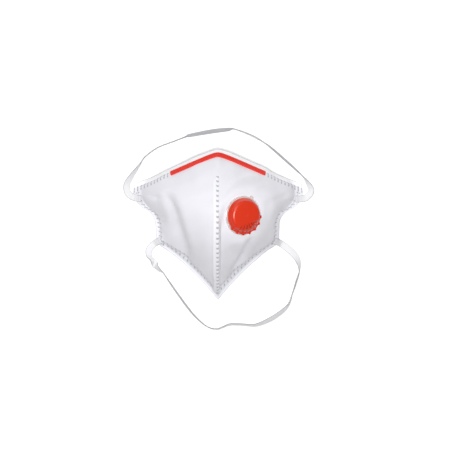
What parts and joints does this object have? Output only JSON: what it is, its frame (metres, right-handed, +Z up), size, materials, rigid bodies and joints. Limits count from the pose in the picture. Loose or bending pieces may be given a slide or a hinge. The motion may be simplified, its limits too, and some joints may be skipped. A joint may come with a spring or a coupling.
{
  "type": "disposable dust mask",
  "caption": "White fold-flat disposable dust mask with a red nose clip, a red exhalation valve in one panel, a welded centre seam and two flat elastic head straps.",
  "frame": {"origin": "on the table, under the middle of the body without its straps", "axes": "+X to the wearer's left (the valve's side), +Y towards the nose, +Z up, away from the face; the mask lies opening down"},
  "size_m": [0.1907, 0.2056, 0.0638],
  "materials": {
    "cover_fabric": "soft white spunbond, matt, with a fine bonded grain",
    "support_felt": "needle-punched felt",
    "filter_web": "smooth melt-blown web",
    "lining_fabric": "soft white spunbond",
    "clip_plastic": "satin red plastic",
    "wire_steel": "annealed zinc-plated wire",
    "foam": "open-cell foam",
    "ring_plastic": "milky translucent plastic",
    "seat_plastic": "milky plastic",
    "flap_silicone": "cloudy dark red silicone",
    "cap_plastic": "satin red plastic, softly moulded",
    "strap_elastic": "flat knitted elastic"
  },
  "bodies": {
    "mask": {"outer_cover": "cover_fabric", "support_layer": "support_felt", "filter_layer": "filter_web", "inner_lining": "lining_fabric", "nose_clip_jacket": "clip_plastic", "nose_wire_upper": "wire_steel", "nose_wire_lower": "wire_steel", "nose_foam": "foam", "valve_ring": "ring_plastic", "valve_seat": "seat_plastic", "valve_cap": "cap_plastic", "upper_strap": "strap_elastic", "lower_strap": "strap_elastic"},
    "flap": {"valve_flap": "flap_silicone"}
  },
  "joints": [
    {"name": "flap_hinge", "type": "hinge", "parent": "mask", "child": "flap", "pos_m": [0.02294, 0.01901, 0.05536], "axis": [-0.8433, -0.359, 0.3999], "range_deg": [0, 7], "stiffness_Nm_per_rad": 0.0005, "springref_deg": -17.19}
  ]
}
